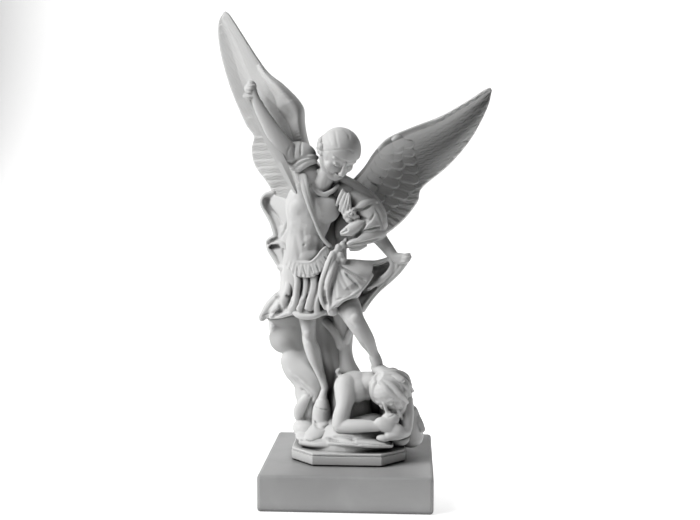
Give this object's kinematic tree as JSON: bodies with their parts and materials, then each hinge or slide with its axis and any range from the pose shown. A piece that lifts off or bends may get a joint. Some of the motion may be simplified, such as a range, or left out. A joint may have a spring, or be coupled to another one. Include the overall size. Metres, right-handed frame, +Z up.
{
  "type": "archangel statue",
  "caption": "White marble-resin statue of a winged archangel with raised sword, treading on a demon, on an eight-sided foot and a plain square block.",
  "frame": {"origin": "centre of the square block's underside", "axes": "+Z up; -Y towards the viewer whom the angel faces; +X to that viewer's right"},
  "size_m": [0.1369, 0.08, 0.233],
  "materials": {
    "white marble": "matte cast marble resin",
    "block marble": "honed marble"
  },
  "bodies": {
    "root": {"figure": "white marble", "base_block": "block marble"}
  },
  "joints": []
}
